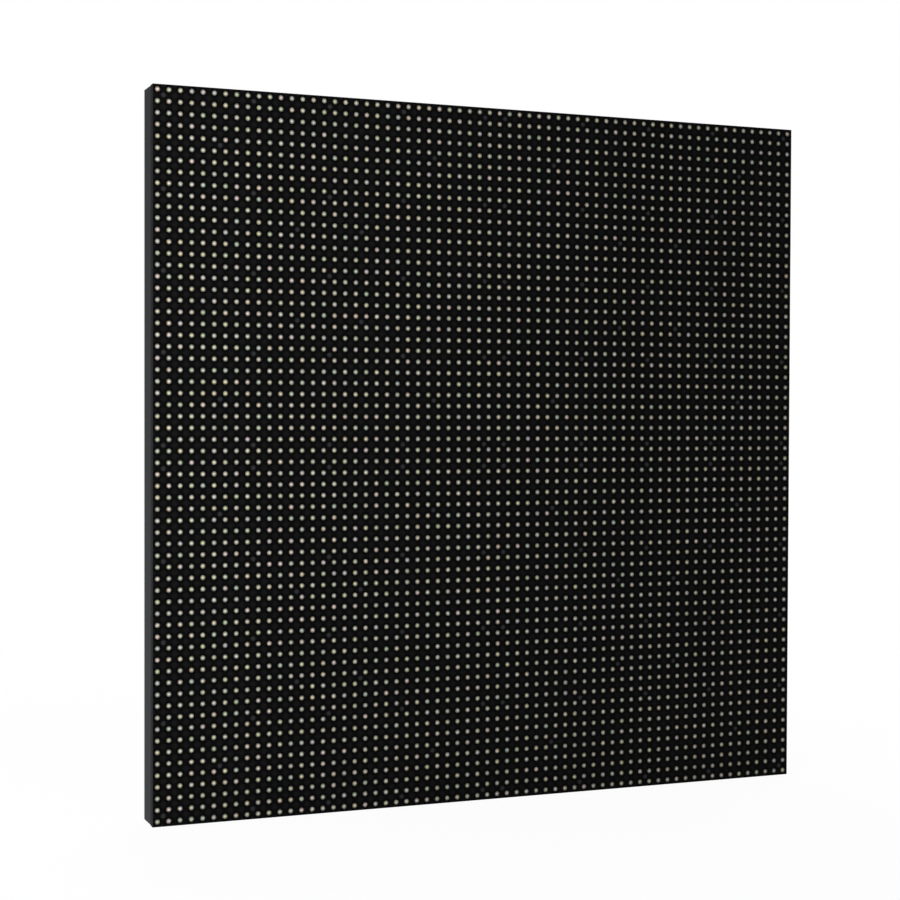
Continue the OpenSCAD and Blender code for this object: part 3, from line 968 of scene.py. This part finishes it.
def busMeshes():
    tracks, vias = bmesh.new(), bmesh.new()
    step, corner = bus["step"], bus["loopCorner"]
    for side in (-1, 1):
        for k in range(bus["lines"]):
            z = side * (bus["level"] + k * step)
            addTrack(tracks, [(-bus["end"], z), (bus["end"], z)])
        for k in range(bus["loopLines"]):
            x = bus["loopX"] + k * step
            z = bus["loopZ"] + (bus["loopLines"] - 1 - k) * step
            end = bus["level"] - bus["below"] - (k % 2) * step
            half = [(x, end), (x, z + corner), (x - corner, z)]
            path = half + [(-a, b) for a, b in reversed(half)]
            addTrack(tracks, [(a, side * b) for a, b in path])
            for a in (-x, x):
                addVia(vias, a, side * end)
    return shapeMesh(tracks), shapeMesh(vias)


def outlineMesh(halfX, halfZ):
    bm = bmesh.new()
    line, rise = board["outline"], board["outlineRise"]
    rings = [squareRing(bm, halfX + out, halfZ + out, y)
             for out, y in ((0, 0), (0, rise), (-line, rise), (-line, 0))]
    bridgeRings(bm, rings + [rings[0]])
    return shapeMesh(bm)


# Joins copies of small meshes at their places on the board into one piece
def addJoined(name, parts, finish):
    bm = bmesh.new()
    for part in parts:
        copy = movedMesh(*part)
        bm.from_mesh(copy)
        bpy.data.meshes.remove(copy)
    addPiece(name, meshFrom(bm), finishes=[finish])


# How far each printed outline stands off its part, in x and z
room = {"chip": (0.6, 0.75), "block": (0.5, 0.35), "can": (0.7, 0.35), "power": (1.1, 1.1),
        "pins": 0.6, "pinsHalfZ": 15.2}
busTracks, busVias = busMeshes()
trackParts, viaParts, outlineParts = [(busTracks, 0, 0)], [(busVias, 0, 0)], []


def addOutlines(halfX, halfZ, margin, spots):
    outline = outlineMesh(halfX + margin[0], halfZ + margin[1])
    outlineParts.extend((outline, x, z) for x, z in spots)


for kindName, kind in chipKinds.items():
    spots = [(x, z) for node, x, z in chipSpots[kindName]]
    addOutlines(kind["length"] / 2, kind["width"] / 2 + chip["legReach"], room["chip"], spots)
    for x, z in spots:
        outward = 1 if z > 0 else -1
        # Column drivers fan out on both sides, with the gap for the capacitor on the inner side
        fans = [(outward, fan["capacitorGap"])]
        if kindName == "column_driver":
            fans = [(outward, 0), (-outward, fan["capacitorGap"])]
        for side, gap in fans:
            fanTracks, fanVias = fanMeshes(kind, gap, (x, z), side)
            turn = 0 if side > 0 else math.pi
            trackParts.append((fanTracks, x, z, turn))
            viaParts.append((fanVias, x, z, turn))

canPlaces = [(x, z) for node, x, z in canSpots]
addOutlines(block["length"] / 2, block["width"] / 2, room["block"], blockPlaces)
addOutlines(can["baseHalf"], can["baseHalf"], room["can"], canPlaces)
for node in ("data_in_pins", "data_out_pins", "power_header"):
    low, high = [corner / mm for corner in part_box(node)]
    middle, half = (low + high) / 2, (high - low) / 2
    if node == "power_header":
        addOutlines(half.x, half.z, room["power"], [(middle.x, middle.z)])
    else:
        addOutlines(half.x, room["pinsHalfZ"], (room["pins"], 0), [(middle.x, middle.z)])

# Plain arrows on the board show which way the signal runs, from input to output
arrow = {"outline": [(-6, -0.7), (2, -0.7), (2, -2.2), (6, 0), (2, 2.2), (2, 0.7), (-6, 0.7)],
         "spots": ([92], [28.5])}
arrowBm = bmesh.new()
addShell(arrowBm, [outlineRing(arrowBm, arrow["outline"], y) for y in (0, board["outlineRise"])])
arrowMesh = shapeMesh(arrowBm)
outlineParts += [(arrowMesh, x, z) for x, z in mirroredSpots(*arrow["spots"])]

# Solder pads, in pairs about a middle: from x, to x, half of z, the z of each pair, and the middles
pads = [
    (0.4, 1.1, 0.5, [0], blockPlaces),
    (2.0, 5.1, 0.9, [0], canPlaces),
    (4.2, 6.2, 0.55, pinPlaces(headerPin), [(x, 0) for node, x, z in pinSpots]),
]
for fromX, toX, halfZ, levels, spots in pads:
    padBm = bmesh.new()
    for z in levels:
        for x0, x1 in ((fromX, toX), (-toX, -fromX)):
            addBox(padBm, (x0, 0, z - halfZ), (x1, chip["padRise"], z + halfZ))
    padPair = shapeMesh(padBm)
    solderParts += [(padPair, x, z) for x, z in spots]

addJoined("boardTracks", trackParts, trackGreen)
addJoined("boardVias", viaParts, tentedVia)
addJoined("boardPrint", outlineParts, whiteInk)
addJoined("solderPads", solderParts, tinPlate)

# Glass-epoxy board under solder mask: satin green behind, dead black in front, and the copper under the
# mask shows as paler columns with one tinned via for each lamp
# The dark dot in the middle of each via is painted shade, standing in for its hole
boardLook = {
    "colour": "#123a20", "pale": "#18452a", "copper": "#1f5433", "ring": "#8f9c84", "drilled": "#101511",
    "front": "#080808", "track": 0.35, "columnAt": 0.5, "via": 0.75, "hole": 0.3, "viaAt": (0.5, 0.25),
    "mottle": 12, "detail": 2.0, "depth": 0.4, "rise": 0.04, "roughness": 0.36, "brighter": 0.05,
    "duller": 0.08, "ior": 1.55, "gloss": 0.25}


def boardMaterial(look):
    material, add, fill, place = startMaterial("greenSolderMask")
    pitch = lampGrid["pitch"]
    local = add("ShaderNodeVectorMath", lampCells(add, place), operation="FRACTION")
    parts = add("ShaderNodeSeparateXYZ", local)
    column = add("ShaderNodeMath", parts.outputs["X"], look["columnAt"], look["track"] / 2 / pitch,
                 operation="COMPARE")
    fromX, fromZ = [add("ShaderNodeMath", parts.outputs[axis], at, operation="SUBTRACT")
                    for axis, at in zip("XZ", look["viaAt"])]
    reach = add("ShaderNodeVectorMath", add("ShaderNodeCombineXYZ", {"X": fromX, "Z": fromZ}),
                operation="LENGTH")
    via, hole = [add("ShaderNodeMath", reach.outputs["Value"], look[size] / 2 / pitch,
                     operation="LESS_THAN") for size in ("via", "hole")]
    cloud = add("ShaderNodeTexNoise", {
        "Vector": place, "Scale": 1 / (look["mottle"] * mm), "Detail": look["detail"]})
    # Each layer of colour lies over the one before
    tone = add("ShaderNodeMix", {0: cloud, 6: linear(look["colour"]), 7: linear(look["pale"])},
               data_type="RGBA")
    for amount, colour in ((column, "copper"), (via, "ring"), (hole, "drilled")):
        tone = add("ShaderNodeMix", {0: amount, 6: tone.outputs[2], 7: linear(look[colour])},
                   data_type="RGBA")
    spot = add("ShaderNodeSeparateXYZ", place)
    behind = add("ShaderNodeMath", spot.outputs["Y"], (boardFrontY + boardBackY) / 2 * mm,
                 operation="GREATER_THAN")
    sided = add("ShaderNodeMix", {0: behind, 6: linear(look["front"]), 7: tone.outputs[2]},
                data_type="RGBA")
    raised = add("ShaderNodeMath", column, via, operation="MAXIMUM")
    bump = add("ShaderNodeBump", {
        "Height": raised, "Strength": look["depth"], "Distance": look["rise"] * mm})
    satin = add("ShaderNodeMapRange", {
        "Value": cloud, "To Min": look["roughness"] - look["brighter"],
        "To Max": look["roughness"] + look["duller"]})
    fill({"Base Color": sided.outputs[2], "Roughness": satin, "Normal": bump, "IOR": look["ior"],
          "Specular IOR Level": look["gloss"]})
    return material


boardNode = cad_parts["led_board"]
boardNode.data.materials.clear()
boardNode.data.materials.append(boardMaterial(boardLook))
print("board dressed")

# Studio lights in metres: place, aim, width, height and power. The key light rakes the front from the
# left, and the others keep the sides and the back readable
studioLights = {
    "keyLight": ((-0.31, -0.25, 0), (-0.1, 0, 0), 0.12, 0.8, 2.15),
    "lowLight": ((-0.32, 0.03, -0.12), (-0.1277, 0, -0.11), 0.1, 0.06, 0.7),
    "fillLight": ((0.6, -0.9, 0.5), (0, 0, 0), 0.6, 0.6, 0.36),
    "topLight": ((0.0, -0.1, 1.0), (0, 0, 0), 0.8, 0.8, 1.5),
    "sideLight": ((0.6, 0.35, 0.1), (0.1277, 0, 0), 0.5, 0.5, 2.4),
    "backLight": ((0.35, 0.9, 0.45), (0, 0, 0), 0.7, 0.7, 6.0),
}
for name, (place, aim, width, height, power) in studioLights.items():
    light = bpy.data.lights.new(name, "AREA")
    light.shape = "RECTANGLE"
    light.size, light.size_y, light.energy = width, height, power
    lightObject = newObject(name, light)
    lightObject.location = place
    lightObject.rotation_euler = (Vector(aim) - Vector(place)).to_track_quat("-Z", "Y").to_euler()

# White surroundings: full white to the camera and in reflections, but a weak light on the object
studio = {"ambient": 0.05, "floor": "#f4f4f4", "floorRoughness": 0.8, "floorHalf": 2.0,
          "shadowFrom": 0.15, "shadowTo": 0.5, "shadowShare": 0.955}


# One where a camera ray or a glossy ray looks, and nought for the light that falls on the object
def seenDirectly(add, ray):
    return add("ShaderNodeMath", ray.outputs["Is Camera Ray"], ray.outputs["Is Glossy Ray"],
               operation="MAXIMUM")


def studioWorld():
    world = bpy.data.worlds.new("whiteStudio")
    world.use_nodes = True
    tree = world.node_tree
    add = partial(addNode, tree)
    ray = add("ShaderNodeLightPath")
    shown = add("ShaderNodeMath", seenDirectly(add, ray), ray.outputs["Is Transmission Ray"],
                operation="MAXIMUM")
    level = add("ShaderNodeMapRange", {"Value": shown, "To Min": studio["ambient"], "To Max": 1.0})
    fillInputs(tree, tree.nodes["Background"], {"Color": (1, 1, 1, 1), "Strength": level})
    bpy.context.scene.world = world


# The floor is painted white light where the camera sees it, and keeps a share of shadow near the panel
def paleFloor():
    bm = bmesh.new()
    bmesh.ops.create_grid(bm, x_segments=1, y_segments=1, size=studio["floorHalf"])
    bmesh.ops.translate(bm, verts=bm.verts, vec=(0, 0, cadLow.z))
    floor = newObject("floor", meshFrom(bm))
    material, add, fill, place = startMaterial("paleStudioFloor")
    fill({"Base Color": linear(studio["floor"]), "Roughness": studio["floorRoughness"]})
    nodes = material.node_tree.nodes
    glow = add("ShaderNodeEmission", {"Color": (1, 1, 1, 1), "Strength": 1.0})
    seen = seenDirectly(add, add("ShaderNodeLightPath"))
    reach = add("ShaderNodeVectorMath", place, operation="LENGTH")
    share = add("ShaderNodeMapRange", {
        "Value": reach.outputs["Value"], "From Min": studio["shadowFrom"], "From Max": studio["shadowTo"],
        "To Min": studio["shadowShare"], "To Max": 1.0})
    part = add("ShaderNodeMath", seen, share, operation="MULTIPLY")
    mixed = add("ShaderNodeMixShader", part, nodes["Principled BSDF"], glow)
    fillInputs(material.node_tree, nodes["Material Output"], {"Surface": mixed})
    floor.data.materials.append(material)


studioWorld()
paleFloor()

# Camera: left of the panel's middle and level with it, as a fit of the lamps in the photograph gives
view = {"lens": 72.5, "sensor": 36, "near": 0.01, "place": (-268.8, -614.3, 15.6),
        "right": (0.9255, -0.37873, 0.00354), "up": (0.00454, 0.02042, 0.99978)}
photoCamera = bpy.data.cameras.new("photoCamera")
photoCamera.lens = view["lens"]
photoCamera.sensor_width = view["sensor"]
photoCamera.clip_start = view["near"]
camera = newObject("photoCamera", photoCamera)
right = Vector(view["right"]).normalized()
back = right.cross(Vector(view["up"])).normalized()
turn = Matrix((right, back.cross(right), back)).transposed().to_4x4()
place = (Vector(view["place"]) + Vector((0, lampY, 0))) * mm
camera.matrix_world = Matrix.Translation(place) @ turn
bpy.context.scene.camera = camera

bpy.context.scene.view_settings.view_transform = "Standard"
print("camera and studio set")
